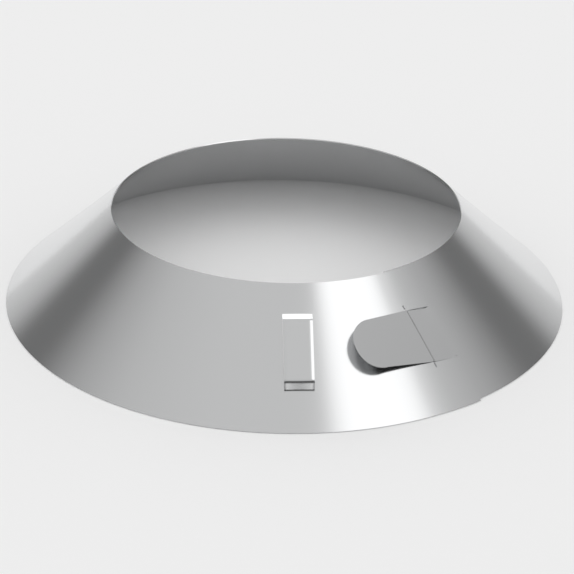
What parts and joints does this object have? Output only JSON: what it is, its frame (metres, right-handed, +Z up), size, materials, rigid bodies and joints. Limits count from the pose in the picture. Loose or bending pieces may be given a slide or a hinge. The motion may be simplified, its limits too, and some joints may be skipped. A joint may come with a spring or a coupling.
{
  "type": "chimney storm collar",
  "caption": "Conical sheet-metal storm collar for a round flue pipe: a rolled band open top and bottom, closed by an interlocked tongue, with a raised bridge at the front.",
  "frame": {"origin": "on the cone's axis, in the plane of the bottom edge", "axes": "+Z up the axis towards the narrow top edge, -Y the front with the raised bridge, +X the right, where the ends lap 40 degrees round from the front"},
  "size_m": [0.2698, 0.2704, 0.046],
  "materials": {
    "galvanised_sheet": "smooth galvanised sheet, neutral grey, softly mirror-like, with plain sheared edges"
  },
  "bodies": {
    "root": {"storm_collar": "galvanised_sheet"}
  },
  "joints": []
}
